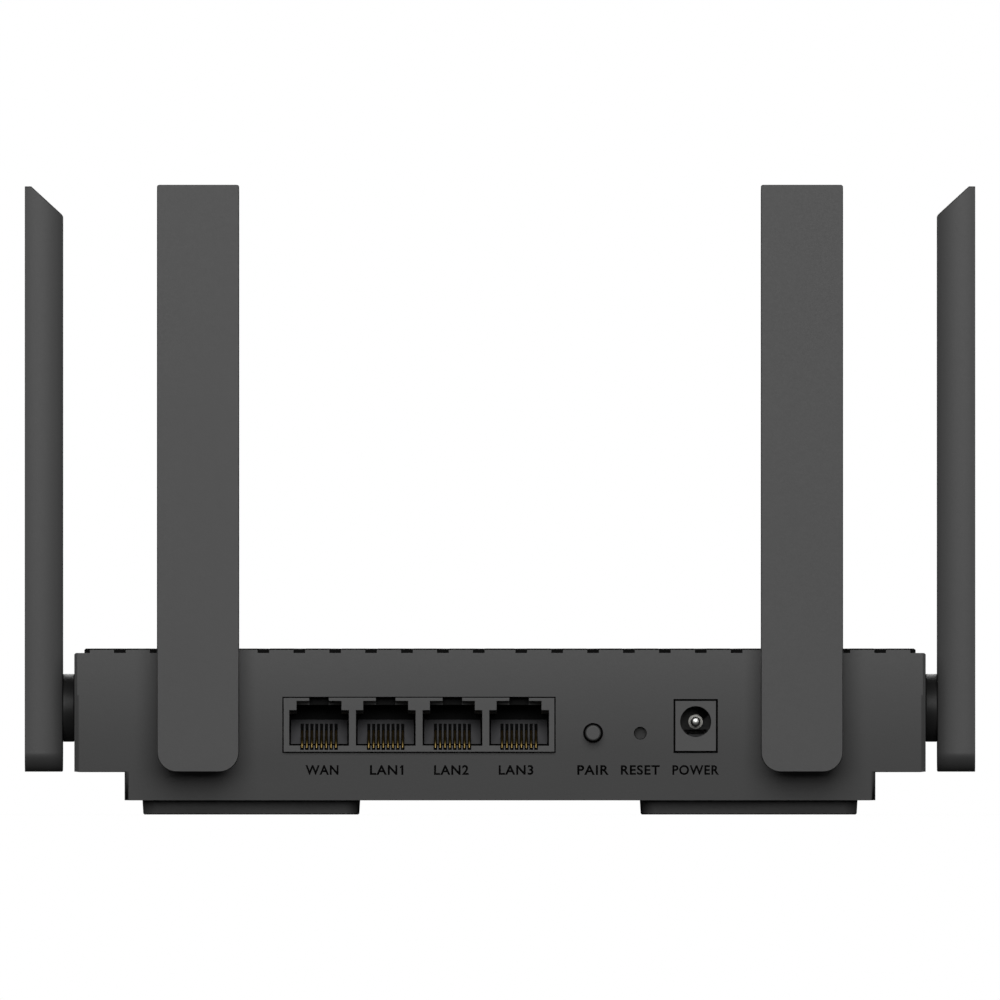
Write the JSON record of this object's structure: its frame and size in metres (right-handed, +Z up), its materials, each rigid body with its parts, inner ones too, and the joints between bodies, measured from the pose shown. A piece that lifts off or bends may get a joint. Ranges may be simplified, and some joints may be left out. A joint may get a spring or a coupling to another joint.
{
  "type": "wireless router",
  "caption": "Flat box-shaped wireless router with hinged paddle antennas at the rear and sides, rear network and power sockets, a pairing button and a recessed reset, on rubber feet.",
  "frame": {"origin": "middle of the whole object's footprint, on the surface that its feet rest on", "axes": "+X to the right as seen from behind, where the sockets are; the rear panel faces -Y; +Z up"},
  "size_m": [0.1994, 0.1355, 0.1318],
  "materials": {
    "charcoal_abs": "fine moulded texture, charcoal grey",
    "antenna_abs": "fine moulded texture, charcoal grey",
    "button_abs": "satin, dark grey",
    "foot_rubber": "matt, near black",
    "zinc_plated_steel": "satin, zinc plated",
    "green_circuit_board": "solder mask over glass epoxy",
    "black_nylon": "satin, black",
    "socket_nylon": "satin, dark grey",
    "chip_epoxy": "matt moulded epoxy, black",
    "aluminium": "satin",
    "tinned_steel": "bright, tin plated",
    "thermal_silicone": "matt, pale blue grey",
    "clear_acrylic": "frosted",
    "coax_jacket": "satin, near black",
    "ferrite": "matt, dark grey"
  },
  "bodies": {
    "router": {"top_cover": "charcoal_abs", "bottom_tray": "charcoal_abs", "foot_rear_left": "foot_rubber", "foot_rear_right": "foot_rubber", "foot_front_left": "foot_rubber", "foot_front_right": "foot_rubber", "case_screw_1": "zinc_plated_steel", "case_screw_2": "zinc_plated_steel", "case_screw_3": "zinc_plated_steel", "case_screw_4": "zinc_plated_steel", "board_screw_left": "zinc_plated_steel", "board_screw_right": "zinc_plated_steel", "main_board": "green_circuit_board", "port_housing": "black_nylon", "contact_insert_wan": "socket_nylon", "contact_insert_lan1": "socket_nylon", "contact_insert_lan2": "socket_nylon", "contact_insert_lan3": "socket_nylon", "power_jack_housing": "black_nylon", "power_jack_pin": "tinned_steel", "power_jack_spring": "tinned_steel", "pair_switch_body": "black_nylon", "reset_switch_body": "black_nylon", "main_processor": "chip_epoxy", "memory_chip": "chip_epoxy", "flash_chip": "chip_epoxy", "line_transformer_wan": "chip_epoxy", "line_transformer_lan": "chip_epoxy", "power_inductor": "ferrite", "bulk_capacitor": "aluminium", "thermal_pad": "thermal_silicone", "heatsink": "aluminium", "radio_shield": "tinned_steel", "status_lamps": "clear_acrylic", "light_guide": "clear_acrylic", "coax_rear_left": "coax_jacket", "coax_rear_right": "coax_jacket", "coax_side_left": "coax_jacket", "coax_side_right": "coax_jacket"},
    "pair_button": {"pair_button": "button_abs", "pair_switch_stem": "button_abs"},
    "reset_button": {"reset_plunger": "button_abs"},
    "antenna_rear_left": {"antenna_rear_left_cover": "antenna_abs", "antenna_rear_left_back": "antenna_abs", "antenna_rear_left_radiator": "green_circuit_board", "antenna_rear_left_clip": "zinc_plated_steel"},
    "antenna_rear_right": {"antenna_rear_right_cover": "antenna_abs", "antenna_rear_right_back": "antenna_abs", "antenna_rear_right_radiator": "green_circuit_board", "antenna_rear_right_clip": "zinc_plated_steel"},
    "antenna_side_left": {"antenna_side_left_cover": "antenna_abs", "antenna_side_left_back": "antenna_abs", "antenna_side_left_radiator": "green_circuit_board", "antenna_side_left_clip": "zinc_plated_steel"},
    "antenna_side_right": {"antenna_side_right_cover": "antenna_abs", "antenna_side_right_back": "antenna_abs", "antenna_side_right_radiator": "green_circuit_board", "antenna_side_right_clip": "zinc_plated_steel"}
  },
  "joints": [
    {"name": "antenna_rear_left_swing", "type": "hinge", "parent": "router", "child": "antenna_rear_left", "pos_m": [-0.0632, -0.0573, 0.0224], "axis": [0, 1, 0], "range_deg": [-90, 90]},
    {"name": "antenna_rear_right_swing", "type": "hinge", "parent": "router", "child": "antenna_rear_right", "pos_m": [0.0632, -0.0573, 0.0224], "axis": [0, 1, 0], "range_deg": [-90, 90]},
    {"name": "antenna_side_left_swing", "type": "hinge", "parent": "router", "child": "antenna_side_left", "pos_m": [-0.0892, -0.0373, 0.0224], "axis": [1, 0, 0], "range_deg": [-90, 90]},
    {"name": "antenna_side_right_swing", "type": "hinge", "parent": "router", "child": "antenna_side_right", "pos_m": [0.0892, -0.0373, 0.0224], "axis": [-1, 0, 0], "range_deg": [-90, 90]},
    {"name": "pair_press", "type": "slide", "parent": "router", "child": "pair_button", "axis": [0, 1, 0], "range_m": [0, 0.0005], "stiffness_N_per_m": 3000},
    {"name": "reset_press", "type": "slide", "parent": "router", "child": "reset_button", "axis": [0, 1, 0], "range_m": [0, 0.0003], "stiffness_N_per_m": 4000}
  ]
}
